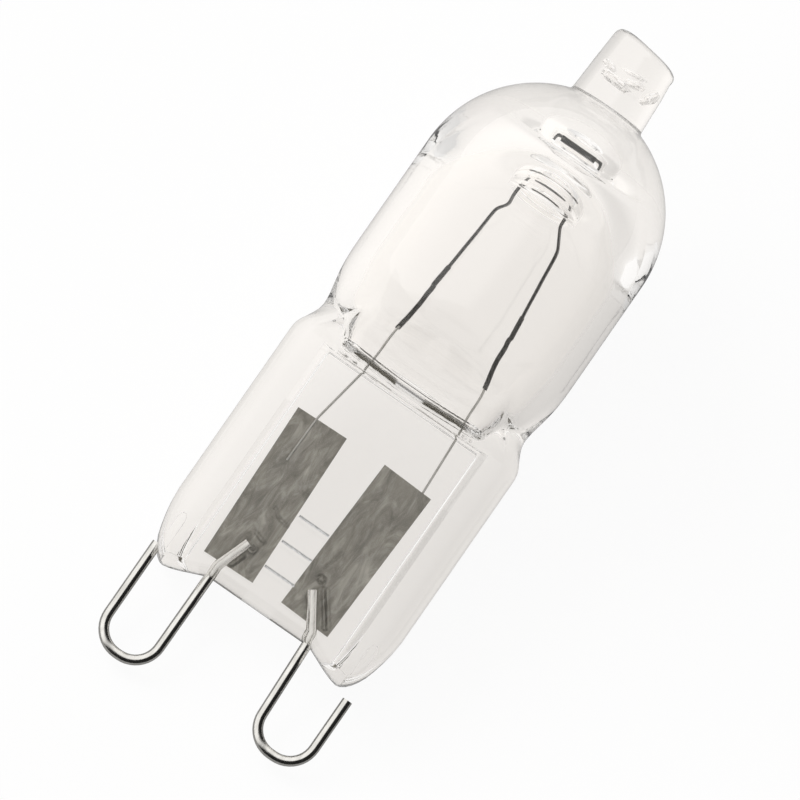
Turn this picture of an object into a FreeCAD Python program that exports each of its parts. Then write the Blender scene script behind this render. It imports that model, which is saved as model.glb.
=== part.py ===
import FreeCAD, Part
import math
import os
from types import SimpleNamespace

import Sketcher
from FreeCAD import Placement, Rotation, Vector

# A halogen capsule lamp with a pinched two-loop base. In its own frame the lamp's axis is Z, with the
# exhaust tip up, x runs across the pinch and the front looks along -Y. Heights start at the lower end of
# the pinch's web. Millimetres and degrees.
DIMENSIONS = {
    # Pinch, with a rail down each side of a thinner web
    "pinch_width": 13.2,
    "pinch_thickness": 3.9,
    "pinch_height": 14.2,
    "pinch_shoulder_radius": 2.0,
    "rail_width": 2.1,
    "rail_slope": 0.35,
    "rail_radius": 0.8,
    "recess_depth": 0.7,
    "recess_margin": 1.55,
    "web_end_width": 6.0,
    "foot_inset": 1.75,
    "foot_drop": 0.78,
    "foot_radius": 0.3,
    "heel_inset": 0.4,
    "heel_height": 0.4,
    "heel_rise": 1.8,
    "heel_radius": 0.8,
    "groove_inset": 0.95,
    "groove_width": 1.05,
    "groove_height": 2.1,
    "groove_depth": 0.45,
    "mark_x": -0.14,
    "mark_length": 1.75,
    "mark_width": 0.1,
    "mark_depth": 0.06,
    "mark_height": 2.45,
    "mark_pitch": 1.46,
    # Neck between the pinch and the bulb, and the floor of the gas space in it
    "neck_seat": 1.6,
    "neck_height": 3.2,
    "neck_inset": 0.75,
    "neck_step": 0.25,
    "floor_rise": 0.45,
    "floor_side_wall": 1.6,
    "floor_face_wall": 0.45,
    # Bulb
    "bulb_diameter": 12.7,
    "bulb_wall": 1.0,
    "crown_wall": 3.1,
    "bulb_length": 6.4,
    # Sealed exhaust tip
    "tip_length": 3.6,
    "tip_root_diameter": 4.06,
    "tip_end_diameter": 3.74,
    "tip_slant": 8.5,
    "tip_edge_radius": 0.8,
    "tip_root_radius": 0.35,
    # End of the exhaust tube inside the dome, with its collapsed bore
    "sleeve_diameter": 4.06,
    "sleeve_wall": 0.48,
    "sleeve_length": 2.3,
    "flare_radius": 0.9,
    "bore_depth": 1.55,
    "bore_cone": 0.6,
    "bore_end_diameter": 1.4,
    "seal_rise": 0.75,
    "seal_diameter": 1.7,
    "seal_end_diameter": 0.5,
    "seal_height": 1.1,
    # Sealing foils
    "foil_width": 2.82,
    "foil_thickness": 0.04,
    "foil_start": 0.94,
    "foil_cover": 3.7,
    "left_foil_x": -2.44,
    "left_foil_splay": 1.6,
    "right_foil_x": 2.06,
    "right_foil_splay": 2.2,
    # Contact loops
    "loop_pitch": 9.0,
    "loop_shift": 0.05,
    "loop_wire": 0.53,
    "loop_width": 2.98,
    "loop_flat": 0.15,
    "weld_bend_radius": 1.3,
    "left_loop_drop": 5.61,
    "left_end_drop": 0.05,
    "left_loop_lean": 0.4,
    "left_bend_height": 0.7,
    "left_weld_shift": 0.14,
    "left_weld_rise": 1.51,
    "right_loop_drop": 5.36,
    "right_end_drop": 1.09,
    "right_loop_lean": 2.2,
    "right_bend_height": 0.4,
    "right_weld_shift": -0.5,
    "right_weld_rise": 1.41,
    # Inner leads
    "lead_wire": 0.12,
    "lead_bend_radius": 3.0,
    "lead_overlap": 2.5,
    "lead_bend_depth": 0.6,
    "left_lead_shift": -0.35,
    "left_lead_weld_shift": -0.4,
    "right_lead_shift": 0.9,
    "right_lead_weld_shift": 0.8,
    # Filament and the sleeves on its legs
    "filament_wire": 0.19,
    "leg_foot_rise": 2.6,
    "left_leg_x": -2.24,
    "right_leg_x": 2.77,
    "kink_drop": 2.01,
    "kink_height": 0.75,
    "kink_bend_radius": 0.57,
    "left_kink_shift": 0.31,
    "left_kink_top_shift": -0.1,
    "right_kink_shift": 0.61,
    "right_kink_top_shift": 0.3,
    "bight_depth": 1.4,
    "bight_bend_radius": 0.38,
    "bight_clearance": 0.05,
    "leg_sleeve_diameter": 0.27,
    "leg_sleeve_length": 3.53,
}

# How deep a welded wire sits into the foil it lies on, as a share of the wire's radius.
WELD_BITE = 0.1
# Where the sections of the neck lie between its root and the bulb's shoulder.
NECK_SHARES = (0.0, 0.15, 0.3, 0.45, 0.6, 0.75, 0.88)
# How far a cutting outline runs past the face that it cuts, as a multiple of the cut.
OVERSHOOT = 2
MARK_COUNT = 3
# The facets and the steps with which the resting pose is found.
REST_DEVIATION = 0.02
REST_STEPS = 8
SIDES = {"left": -1, "right": 1}

doc = FreeCAD.newDocument("capsule_lamp")
sheet = doc.addObject("Spreadsheet::Sheet", "Sizes")
for row, (alias, amount) in enumerate(DIMENSIONS.items(), start=1):
    sheet.set(f"A{row}", alias)
    sheet.set(f"B{row}", str(amount))
    sheet.setAlias(f"B{row}", alias)
doc.recompute()


class Measure:
    """A size that carries its value and the sheet formula that gives it."""

    def __init__(self, value, formula):
        self.value = value
        self.formula = formula

    def __add__(self, other):
        return Measure(self.value + value_of(other), f"({self.formula} + {formula_of(other)})")

    def __sub__(self, other):
        return Measure(self.value - value_of(other), f"({self.formula} - {formula_of(other)})")

    def __mul__(self, other):
        return Measure(self.value * value_of(other), f"({self.formula} * {formula_of(other)})")

    def __truediv__(self, other):
        return Measure(self.value / value_of(other), f"({self.formula} / {formula_of(other)})")

    def __neg__(self):
        return self * -1


def value_of(size):
    return size.value if isinstance(size, Measure) else size


def formula_of(size):
    return size.formula if isinstance(size, Measure) else repr(size)


def root(size):
    return Measure(math.sqrt(size.value), f"sqrt({size.formula})")


def tangent(angle):
    return Measure(math.tan(math.radians(angle.value)), f"tan({angle.formula} * 1 deg)")


def sine(angle):
    return Measure(math.sin(math.radians(angle.value)), f"sin({angle.formula} * 1 deg)")


def cosine(angle):
    return Measure(math.cos(math.radians(angle.value)), f"cos({angle.formula} * 1 deg)")


cells = {alias: Measure(float(sheet.get(alias)), f"Sizes.{alias}") for alias in DIMENSIONS}
dim = SimpleNamespace(**cells)


def sided(side, name):
    """The measure of one side's own cell, such as left_foil_x."""
    return cells[f"{side}_{name}"]


# Places that follow from the sizes

half_pinch = dim.pinch_width / 2
half_thickness = dim.pinch_thickness / 2
web_face = half_thickness - dim.recess_depth
half_web = half_pinch - dim.rail_width
neck_root_z = dim.pinch_height - dim.neck_seat
neck_root_width = dim.pinch_width - dim.neck_inset * 2
neck_root_depth = dim.pinch_thickness - dim.neck_step * 2
floor_z = neck_root_z + dim.floor_rise
shoulder_z = dim.pinch_height + dim.neck_height
bulb_radius = dim.bulb_diameter / 2
inner_radius = bulb_radius - dim.bulb_wall
dome_z = shoulder_z + dim.bulb_length
apex_z = dome_z + bulb_radius
ceiling_z = apex_z - dim.crown_wall
tip_top_z = apex_z + dim.tip_length
sleeve_radius = dim.sleeve_diameter / 2
bore_radius = sleeve_radius - dim.sleeve_wall
sleeve_end_z = ceiling_z - dim.sleeve_length
foil_top_z = floor_z - dim.foil_cover
leg_foot_z = floor_z + dim.leg_foot_rise
mouth_z = sleeve_end_z - dim.filament_wire
kink_z = mouth_z - dim.kink_drop
half_bight = bore_radius - dim.filament_wire / 2 - dim.bight_clearance


# Sketching

def add_body(label):
    body = doc.addObject("PartDesign::Body", label)
    body.Label = label
    return body


def add_sketch(body, name, plane, lift=None):
    """A sketch on one of the body's own planes, lifted along that plane's normal."""
    sketch = body.newObject("Sketcher::SketchObject", name)
    support = [feature for feature in body.Origin.OriginFeatures if feature.Role == plane]
    sketch.AttachmentSupport = [(support[0], "")]
    sketch.MapMode = "FlatFace"
    if lift is not None:
        sketch.AttachmentOffset = Placement(Vector(0, 0, lift.value), Rotation())
        sketch.setExpression("AttachmentOffset.Base.z", lift.formula)
    return sketch


def add_dimension(sketch, kind, where, size):
    index = sketch.addConstraint(Sketcher.Constraint(kind, *where, size.value))
    sketch.setExpression(f"Constraints[{index}]", size.formula)


def pin(sketch, geometry, end, corner):
    """Holds a point at a corner. A plain 0 puts it on the sketch's own axis."""
    for kind, axis, size in (("DistanceX", -2, corner[0]), ("DistanceY", -1, corner[1])):
        if isinstance(size, Measure):
            add_dimension(sketch, kind, (-1, 1, geometry, end), size)
        else:
            sketch.addConstraint(Sketcher.Constraint("PointOnObject", geometry, end, axis))


def spot(corner):
    return Vector(value_of(corner[0]), value_of(corner[1]), 0)


def arc_between(start, end, radius, turn):
    """The shorter arc from start to end, to the left for turn 1 and to the right for turn -1."""
    chord = end - start
    reach = math.sqrt(max(radius**2 - (chord.Length / 2) ** 2, 0))
    aside = Vector(-chord.y, chord.x, 0).normalize() * reach * turn
    centre = (start + end) * 0.5 + aside
    first, last = (start, end) if turn > 0 else (end, start)
    angles = [math.atan2(point.y - centre.y, point.x - centre.x) for point in (first, last)]
    return Part.ArcOfCircle(Part.Circle(centre, Vector(0, 0, 1), radius), *angles)


def draw_outline(sketch, corners, arcs=None):
    """A closed outline. An edge's number in arcs makes it an arc of that radius and turn."""
    arcs = arcs or {}
    edges = []
    for number, corner in enumerate(corners):
        start = spot(corner)
        end = spot(corners[(number + 1) % len(corners)])
        radius, turn = arcs.get(number, (None, 1))
        if radius:
            curve = arc_between(start, end, radius.value, turn)
        else:
            curve = Part.LineSegment(start, end)
        ends = (1, 2) if turn > 0 else (2, 1)
        edges.append((sketch.addGeometry(curve), *ends))
        if radius:
            add_dimension(sketch, "Radius", (edges[-1][0],), radius)
    for number, (edge, first, _) in enumerate(edges):
        before, _, last = edges[number - 1]
        sketch.addConstraint(Sketcher.Constraint("Coincident", before, last, edge, first))
        pin(sketch, edge, first, corners[number])


def draw_path(sketch, corners, bends):
    """Straight runs through the corners, joined by tangent arcs of the radii in bends."""
    points = [spot(corner) for corner in corners]
    headings = [(after - before).normalize() for before, after in zip(points, points[1:])]
    starts = list(points)
    ends = list(points)
    for number, bend in enumerate(bends, start=1):
        turn = headings[number - 1].getAngle(headings[number])
        setback = bend.value * math.tan(turn / 2)
        ends[number] = points[number] - headings[number - 1] * setback
        starts[number] = points[number] + headings[number] * setback
    runs = []
    for number in range(len(headings)):
        runs.append(sketch.addGeometry(Part.LineSegment(starts[number], ends[number + 1])))
    pin(sketch, runs[0], 1, corners[0])
    pin(sketch, runs[-1], 2, corners[-1])
    for number, bend in enumerate(bends, start=1):
        before, after = runs[number - 1], runs[number]
        turn = 1 if headings[number - 1].cross(headings[number]).z > 0 else -1
        arc = sketch.addGeometry(arc_between(ends[number], starts[number], bend.value, turn))
        first, last = (1, 2) if turn > 0 else (2, 1)
        sketch.addConstraint(Sketcher.Constraint("Tangent", before, 2, arc, first))
        sketch.addConstraint(Sketcher.Constraint("Tangent", arc, last, after, 1))
        add_dimension(sketch, "Radius", (arc,), bend)
        point = sketch.addGeometry(Part.Point(points[number]), True)
        pin(sketch, point, 1, corners[number])
        for run in (before, after):
            sketch.addConstraint(Sketcher.Constraint("PointOnObject", point, 1, run))


def draw_circle(sketch, radius):
    circle = sketch.addGeometry(Part.Circle(Vector(0, 0, 0), Vector(0, 0, 1), radius.value))
    sketch.addConstraint(Sketcher.Constraint("Coincident", circle, 3, -1, 1))
    add_dimension(sketch, "Radius", (circle,), radius)


def draw_ellipse(sketch, width, depth):
    oval = sketch.addGeometry(Part.Ellipse(Vector(0, 0, 0), width.value / 2, depth.value / 2))
    sketch.exposeInternalGeometry(oval)
    long_axis, short_axis = oval + 1, oval + 2
    sketch.addConstraint(Sketcher.Constraint("Coincident", oval, 3, -1, 1))
    sketch.addConstraint(Sketcher.Constraint("Horizontal", long_axis))
    add_dimension(sketch, "Distance", (long_axis,), width)
    add_dimension(sketch, "Distance", (short_axis,), depth)


# Features

def revolve(body, sketch):
    feature = body.newObject("PartDesign::Revolution", sketch.Name + "_turned")
    feature.Profile = sketch
    feature.ReferenceAxis = (sketch, ["V_Axis"])
    feature.Angle = 360
    doc.recompute()
    return feature


def pad_both_ways(body, sketch, thickness):
    feature = body.newObject("PartDesign::Pad", sketch.Name + "_pad")
    feature.Profile = sketch
    feature.SideType = "Symmetric"
    feature.setExpression("Length", thickness.formula)
    doc.recompute()
    return feature


def pocket(body, sketch, depth, sides="One side", upward=False):
    """Cuts a sketch into the body, against the sketch's normal unless it goes upward."""
    before = body.Shape.Volume
    feature = body.newObject("PartDesign::Pocket", sketch.Name + "_cut")
    feature.Profile = sketch
    feature.SideType = sides
    feature.Reversed = upward
    feature.setExpression("Length", depth.formula)
    doc.recompute()
    if feature.Shape.Volume >= before:
        raise RuntimeError(f"{feature.Name} cut nothing")
    return feature


def round_edges(body, feature, name, edges, radius):
    fillet = body.newObject("PartDesign::Fillet", name)
    fillet.Base = (feature, edges)
    fillet.setExpression("Radius", radius.formula)
    doc.recompute()
    return fillet


def edges_where(feature, wanted):
    """Names of the edges of which every sampled point passes the test."""
    names = []
    for number, edge in enumerate(feature.Shape.Edges, start=1):
        if all(wanted(point) for point in edge.discretize(7)):
            names.append(f"Edge{number}")
    return names


def close(value, size):
    return abs(value - value_of(size)) < 1e-4


def level_ring(feature, height, radius):
    """Edges that run round the axis at one height and radius."""
    return edges_where(feature, lambda p: close(p.z, height) and close(math.hypot(p.x, p.y), radius))


def cross_edges(feature, corners):
    """Edges that run from front to back at corners of the front outline, on both sides."""
    found = []
    for across, along in corners:
        found += edges_where(feature, lambda p: close(abs(p.x), across) and close(p.z, along))
    return found


# Quartz envelope: bulb, dome and tip

tip_root = dim.tip_root_diameter / 2
tip_root_z = dome_z + root(bulb_radius * bulb_radius - tip_root * tip_root)
tip_rise = dim.tip_root_diameter * tangent(dim.tip_slant)

bulb = add_body("bulb_outside")
profile = add_sketch(bulb, "bulb_profile", "XZ_Plane")
draw_outline(
    profile,
    [
        (0, shoulder_z),
        (bulb_radius, shoulder_z),
        (bulb_radius, dome_z),
        (tip_root, tip_root_z),
        (dim.tip_end_diameter / 2, tip_top_z + tip_rise),
        (0, tip_top_z + tip_rise),
    ],
    {2: (bulb_radius, 1)},
)
turned = revolve(bulb, profile)
root_ring = level_ring(turned, tip_root_z, tip_root)
round_edges(bulb, turned, "tip_root_round", root_ring, dim.tip_root_radius)
slant = add_sketch(bulb, "tip_slant_line", "XZ_Plane")
draw_outline(
    slant,
    [
        (-dim.tip_root_diameter, tip_top_z + tip_rise),
        (dim.tip_root_diameter, tip_top_z - tip_rise),
        (dim.tip_root_diameter, tip_top_z + tip_rise * OVERSHOOT),
        (-dim.tip_root_diameter, tip_top_z + tip_rise * OVERSHOOT),
    ],
)
slanted = pocket(bulb, slant, dim.tip_root_diameter * OVERSHOOT, "Symmetric")
slope = math.tan(math.radians(dim.tip_slant.value))
rim = edges_where(slanted, lambda p: close(p.z, tip_top_z.value - p.x * slope))
round_edges(bulb, slanted, "tip_edge_round", rim, dim.tip_edge_radius)

# Gas space of the bulb. The crown is thicker than the wall, and the end of the exhaust tube stands out of
# it. The tube's outside runs into the crown by a flare, and its bore is melted shut. A flat bubble is left
# in the tip.

crown_z = ceiling_z - inner_radius
flare_x = sleeve_radius + dim.flare_radius
flare_reach = inner_radius - dim.flare_radius
flare_z = crown_z + root(flare_reach * flare_reach - flare_x * flare_x)
flare_share = inner_radius / flare_reach
bore_top_z = sleeve_end_z + dim.bore_depth
seal_z = apex_z + dim.seal_rise
seal_top_z = seal_z + dim.seal_height

cavity = add_body("bulb_inside")
profile = add_sketch(cavity, "cavity_profile", "XZ_Plane")
draw_outline(
    profile,
    [
        (0, shoulder_z),
        (inner_radius, shoulder_z),
        (inner_radius, crown_z),
        (flare_x * flare_share, crown_z + (flare_z - crown_z) * flare_share),
        (sleeve_radius, flare_z),
        (sleeve_radius, sleeve_end_z),
        (bore_radius, sleeve_end_z),
        (bore_radius, bore_top_z),
        (dim.bore_end_diameter / 2, bore_top_z + dim.bore_cone),
        (0, bore_top_z + dim.bore_cone),
    ],
    {2: (inner_radius, 1), 3: (dim.flare_radius, 1)},
)
revolve(cavity, profile)

bubble = add_body("tip_bubble")
profile = add_sketch(bubble, "bubble_profile", "XZ_Plane")
draw_outline(
    profile,
    [
        (0, seal_z),
        (dim.seal_end_diameter / 2, seal_z),
        (dim.seal_diameter / 2, seal_z + dim.seal_height / 2),
        (dim.seal_end_diameter / 2, seal_top_z),
        (0, seal_top_z),
    ],
)
revolve(bubble, profile)


# Neck: oval sections that swell smoothly from the pinch's slot to the round bulb

def neck(label, base_z, width, depth, diameter):
    body = add_body(label)
    rise = shoulder_z - base_z
    ovals = []
    for number, share in enumerate(NECK_SHARES):
        swell = share * share * (3 - 2 * share)
        oval = add_sketch(body, f"{label}_oval_{number}", "XY_Plane", base_z + rise * share)
        draw_ellipse(oval, width + (diameter - width) * swell, depth + (diameter - depth) * swell)
        ovals.append(oval)
    circle = add_sketch(body, f"{label}_circle", "XY_Plane", shoulder_z)
    draw_circle(circle, diameter / 2)
    loft = body.newObject("PartDesign::AdditiveLoft", label + "_loft")
    loft.Profile = ovals[0]
    loft.Sections = ovals[1:] + [circle]
    doc.recompute()
    return body


neck_body = neck("neck_outside", neck_root_z, neck_root_width, neck_root_depth, dim.bulb_diameter)
floor_width = neck_root_width - dim.floor_side_wall * 2
floor_depth = neck_root_depth - dim.floor_face_wall * 2
floor_body = neck("neck_inside", floor_z, floor_width, floor_depth, inner_radius * 2)


# Pinch: the pressed foot with its rails, recessed web, grooves for the loops' ends and moulded marks

def mirrored_corners(half):
    """Completes an outline that is drawn from the axis outwards on the right."""
    return half + [(-across, along) for across, along in reversed(half)]


web_end = (dim.web_end_width / 2, 0)
foot = (half_pinch - dim.foot_inset, -dim.foot_drop)
heel = (half_pinch - dim.heel_inset, dim.heel_height)
heel_top = (half_pinch, dim.heel_height + dim.heel_rise)
pinch_shoulder = (half_pinch, dim.pinch_height)
below_foot = -dim.foot_drop * OVERSHOOT

pinch = add_body("pinch_block")
outline = add_sketch(pinch, "pinch_outline", "XZ_Plane")
draw_outline(outline, mirrored_corners([web_end, foot, heel, heel_top, pinch_shoulder]))
block = pad_both_ways(pinch, outline, dim.pinch_thickness)
shoulders = round_edges(
    pinch, block, "shoulder_round", cross_edges(block, [pinch_shoulder]), dim.pinch_shoulder_radius
)
heels = round_edges(
    pinch, shoulders, "heel_round", cross_edges(shoulders, [heel, heel_top]), dim.heel_radius
)
feet = round_edges(pinch, heels, "foot_round", cross_edges(heels, [foot, web_end]), dim.foot_radius)
face_edges = edges_where(feet, lambda p: close(abs(p.y), half_thickness))
round_edges(pinch, feet, "rail_round", face_edges, dim.rail_radius)

recess = add_sketch(pinch, "web_recess", "XY_Plane", below_foot)
draw_outline(
    recess,
    mirrored_corners([
        (half_web, -web_face),
        (half_web + dim.rail_slope * OVERSHOOT, -web_face - dim.recess_depth * OVERSHOOT),
    ]),
)
recess_top_z = dim.pinch_height - dim.recess_margin
front_recess = pocket(pinch, recess, recess_top_z - below_foot, upward=True)
back_recess = pinch.newObject("PartDesign::Mirrored", "back_recess")
back_recess.Originals = [front_recess]
back_recess.MirrorPlane = (
    [feature for feature in pinch.Origin.OriginFeatures if feature.Role == "XZ_Plane"][0],
    [""],
)
pinch.Tip = back_recess
doc.recompute()

grooves = add_sketch(pinch, "loop_grooves", "XZ_Plane", half_thickness)
groove_radius = dim.groove_width / 2
for side in SIDES.values():
    middle = (half_pinch - dim.groove_inset) * side
    draw_outline(
        grooves,
        [
            (middle - groove_radius, below_foot),
            (middle + groove_radius, below_foot),
            (middle + groove_radius, dim.groove_height - groove_radius),
            (middle, dim.groove_height),
            (middle - groove_radius, dim.groove_height - groove_radius),
        ],
        {2: (groove_radius, 1), 3: (groove_radius, 1)},
    )
pocket(pinch, grooves, dim.groove_depth)

mark = add_sketch(pinch, "moulded_mark", "XZ_Plane", web_face)
draw_outline(
    mark,
    [
        (dim.mark_x - dim.mark_length / 2, dim.mark_height - dim.mark_width / 2),
        (dim.mark_x + dim.mark_length / 2, dim.mark_height - dim.mark_width / 2),
        (dim.mark_x + dim.mark_length / 2, dim.mark_height + dim.mark_width / 2),
        (dim.mark_x - dim.mark_length / 2, dim.mark_height + dim.mark_width / 2),
    ],
)
first_mark = pocket(pinch, mark, dim.mark_depth)
marks = pinch.newObject("PartDesign::LinearPattern", "moulded_marks")
marks.Originals = [first_mark]
marks.Direction = (mark, ["V_Axis"])
marks.Occurrences = MARK_COUNT
marks.setExpression("Length", (dim.mark_pitch * (MARK_COUNT - 1)).formula)
pinch.Tip = marks
doc.recompute()


# Sealing foils, splayed a little outwards

def foil_top_x(side):
    """Where the middle of a foil's upper end lies."""
    reach = (foil_top_z - dim.foil_start) * tangent(sided(side, "foil_splay"))
    return sided(side, "foil_x") + reach * SIDES[side]


def foil(side):
    body = add_body(f"{side}_foil")
    splay = sided(side, "foil_splay")
    half_x = cosine(splay) * dim.foil_width / 2
    half_z = sine(splay) * dim.foil_width / 2 * SIDES[side]
    foot_x = sided(side, "foil_x")
    top_x = foil_top_x(side)
    sketch = add_sketch(body, f"{side}_foil_outline", "XZ_Plane")
    draw_outline(
        sketch,
        [
            (foot_x - half_x, dim.foil_start + half_z),
            (foot_x + half_x, dim.foil_start - half_z),
            (top_x + half_x, foil_top_z - half_z),
            (top_x - half_x, foil_top_z + half_z),
        ],
    )
    pad_both_ways(body, sketch, dim.foil_thickness)
    return body


foils = {side: foil(side) for side in SIDES}


# Wires

def wire(label, corners, bends, thickness, forward=None, bore=None):
    """A round wire, or a tube with a bore, along straight runs and tangent bends."""
    body = add_body(label)
    path = add_sketch(body, f"{label}_path", "XZ_Plane", forward)
    draw_path(path, corners, bends)
    doc.recompute()
    section = body.newObject("Sketcher::SketchObject", f"{label}_section")
    section.AttachmentSupport = [(path, "Edge1")]
    section.MapMode = "NormalToEdge"
    draw_circle(section, thickness / 2)
    if bore is not None:
        draw_circle(section, bore / 2)
    sweep = body.newObject("PartDesign::AdditivePipe", f"{label}_sweep")
    sweep.Profile = section
    sweep.Spine = (path, [f"Edge{number + 1}" for number in range(len(path.Shape.Edges))])
    doc.recompute()
    return body


def on_foil(thickness):
    """How far a wire's middle lies from the middle of the foil that it is welded to."""
    return dim.foil_thickness / 2 + thickness / 2 * (1 - WELD_BITE)


def contact_loop(side):
    outward = SIDES[side]
    drop = sided(side, "loop_drop")
    bend_z = sided(side, "bend_height")
    middle = dim.loop_pitch / 2 * outward + dim.loop_shift
    outer_x = middle + dim.loop_width / 2 * outward
    inner_x = middle - dim.loop_width / 2 * outward
    exit_x = inner_x - (drop + bend_z) * tangent(sided(side, "loop_lean")) * outward
    weld_x = sided(side, "foil_x") + sided(side, "weld_shift")
    corners = [
        (outer_x, -sided(side, "end_drop")),
        (outer_x, -drop),
        (inner_x, -drop),
        (exit_x, bend_z),
        (weld_x, dim.foil_start + sided(side, "weld_rise")),
    ]
    loop_bend = (dim.loop_width - dim.loop_flat) / 2
    bends = [loop_bend, loop_bend, dim.weld_bend_radius]
    return wire(f"{side}_loop_wire", corners, bends, dim.loop_wire, on_foil(dim.loop_wire))


def kink_x(side):
    """Where a filament leg's kink starts, out from the bight that it leads to."""
    return (half_bight + sided(side, "kink_shift")) * SIDES[side]


def kink_top_x(side):
    return (half_bight + sided(side, "kink_top_shift")) * SIDES[side]


def leg_line_x(side, height):
    """Where the straight line of a filament leg is at a height."""
    foot_x = sided(side, "leg_x")
    share = (height - leg_foot_z) / (kink_z - leg_foot_z)
    return foot_x + (kink_x(side) - foot_x) * share


def inner_lead(side):
    """Carries on the line of its filament leg, then bends to its foil. The left lead is welded to the
    front of its foil, and the right one to the back."""
    forward = on_foil(dim.lead_wire) * -SIDES[side]
    bend_z = floor_z - dim.lead_bend_depth
    top_x = foil_top_x(side)
    corners = [
        (sided(side, "leg_x"), leg_foot_z),
        (leg_line_x(side, bend_z), bend_z),
        (top_x + sided(side, "lead_shift"), foil_top_z),
        (top_x + sided(side, "lead_weld_shift"), foil_top_z - dim.lead_overlap),
    ]
    bends = [dim.lead_bend_radius, dim.lead_bend_radius]
    return wire(f"{side}_lead_wire", corners, bends, dim.lead_wire, forward)


loop_wires = {side: contact_loop(side) for side in SIDES}
lead_wires = {side: inner_lead(side) for side in SIDES}

bight_z = sleeve_end_z + dim.bight_depth
kink_top_z = kink_z + dim.kink_height
leg_bends = [dim.kink_bend_radius, dim.kink_bend_radius, dim.bight_bend_radius]
bight_bends = [dim.bight_bend_radius, dim.bight_bend_radius]
filament = wire(
    "filament",
    [
        (dim.left_leg_x, leg_foot_z),
        (kink_x("left"), kink_z),
        (kink_top_x("left"), kink_top_z),
        (-half_bight, mouth_z),
        (-half_bight, bight_z),
        (half_bight, bight_z),
        (half_bight, mouth_z),
        (kink_top_x("right"), kink_top_z),
        (kink_x("right"), kink_z),
        (dim.right_leg_x, leg_foot_z),
    ],
    leg_bends + bight_bends + leg_bends[::-1],
    dim.filament_wire,
)


def leg_sleeve(side):
    top_z = leg_foot_z + dim.leg_sleeve_length
    corners = [
        (sided(side, "leg_x"), leg_foot_z),
        (leg_line_x(side, top_z), top_z),
    ]
    return wire(f"{side}_leg_sleeve", corners, [], dim.leg_sleeve_diameter, bore=dim.filament_wire)


leg_sleeves = {side: leg_sleeve(side) for side in SIDES}


# Resting pose: the lamp lies on its back, on the bulb and on the rear edge of the pinch, with the tip
# raised and towards +Y. Its box is centred on the origin and stands on Z = 0.

def lowest(points, tilt):
    return min(points, key=lambda p: p.z * math.sin(tilt) - p.y * math.cos(tilt))


def resting_tilt():
    heel_points = pinch.Shape.tessellate(REST_DEVIATION)[0]
    bulb_points = bulb.Shape.tessellate(REST_DEVIATION)[0] + neck_body.Shape.tessellate(REST_DEVIATION)[0]
    tilt = 0.0
    for _ in range(REST_STEPS):
        heel_point = lowest(heel_points, tilt)
        bulb_point = lowest(bulb_points, tilt)
        tilt = math.atan2(bulb_point.y - heel_point.y, bulb_point.z - heel_point.z)
    return tilt


def resting_pose():
    turn = Placement(Vector(), Rotation(Vector(1, 0, 0), math.degrees(resting_tilt()) - 90))
    box = FreeCAD.BoundBox()
    for body in (bulb, neck_body, pinch, *loop_wires.values()):
        shape = body.Shape.copy()
        shape.Placement = turn.multiply(shape.Placement)
        box.add(shape.optimalBoundingBox())
    return Placement(Vector(-box.Center.x, -box.Center.y, -box.ZMin), turn.Rotation)


rest = resting_pose()
for body in doc.findObjects("PartDesign::Body"):
    body.Placement = rest
doc.recompute()


# Joining: the glass is fused, hollowed and closed round the metal that is sealed into it

def fuse(label, pieces):
    joined = doc.addObject("Part::MultiFuse", label)
    joined.Shapes = pieces
    return joined


def cut(label, piece, tool):
    rest_of_it = doc.addObject("Part::Cut", label)
    rest_of_it.Base = piece
    rest_of_it.Tool = tool
    return rest_of_it


contact_loops = [cut(f"{side}_contact_loop", loop_wires[side], foils[side]) for side in SIDES]
inner_leads = [cut(f"{side}_inner_lead", lead_wires[side], foils[side]) for side in SIDES]
glass = fuse("glass_blank", [bulb, neck_body, pinch])
gas_space = fuse("gas_space", [cavity, floor_body, bubble])
sealed_metal = fuse("sealed_metal", [*foils.values(), *loop_wires.values(), *lead_wires.values()])
envelope = cut("quartz_envelope", cut("hollow_glass", glass, gas_space), sealed_metal)
doc.recompute()

nodes = [envelope, *foils.values(), *contact_loops, *inner_leads, *leg_sleeves.values(), filament]
for item in doc.Objects:
    if "Invalid" in item.State or "Error" in item.State:
        raise RuntimeError(f"{item.Label} failed: {item.State}")
for node in nodes:
    if node.Shape.isNull() or not node.Shape.isValid() or len(node.Shape.Solids) != 1:
        raise RuntimeError(f"{node.Label} has no valid single solid")

os.makedirs("parts", exist_ok=True)
for node in nodes:
    node.Shape.exportStep(f"parts/{node.Label}.step")
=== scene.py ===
import math

import bpy
from mathutils import Matrix, Vector


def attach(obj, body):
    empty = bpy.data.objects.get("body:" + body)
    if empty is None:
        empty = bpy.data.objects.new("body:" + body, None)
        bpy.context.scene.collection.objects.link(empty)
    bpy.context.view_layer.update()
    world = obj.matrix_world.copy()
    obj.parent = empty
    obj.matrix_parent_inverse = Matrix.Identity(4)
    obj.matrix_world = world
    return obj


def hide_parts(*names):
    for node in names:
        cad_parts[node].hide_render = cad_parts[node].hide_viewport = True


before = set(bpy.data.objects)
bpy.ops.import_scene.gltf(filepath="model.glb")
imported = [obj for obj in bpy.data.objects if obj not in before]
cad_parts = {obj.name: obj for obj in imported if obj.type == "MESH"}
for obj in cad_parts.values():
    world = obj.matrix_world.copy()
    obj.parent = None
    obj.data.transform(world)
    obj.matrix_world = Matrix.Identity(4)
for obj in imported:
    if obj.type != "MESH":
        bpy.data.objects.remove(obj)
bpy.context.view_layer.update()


# Sealing foils. Two strips of rolled molybdenum, a few hundredths of a millimetre thick, pressed into the
# pinch to carry the current through the glass. Rolling leaves streaks along them, the welds of the loops
# pull them into wrinkles, and the weld tool has left a dimple in the right one.
MILLIMETRE = 0.001
REST_TILT = math.radians(14.3404)
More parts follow.
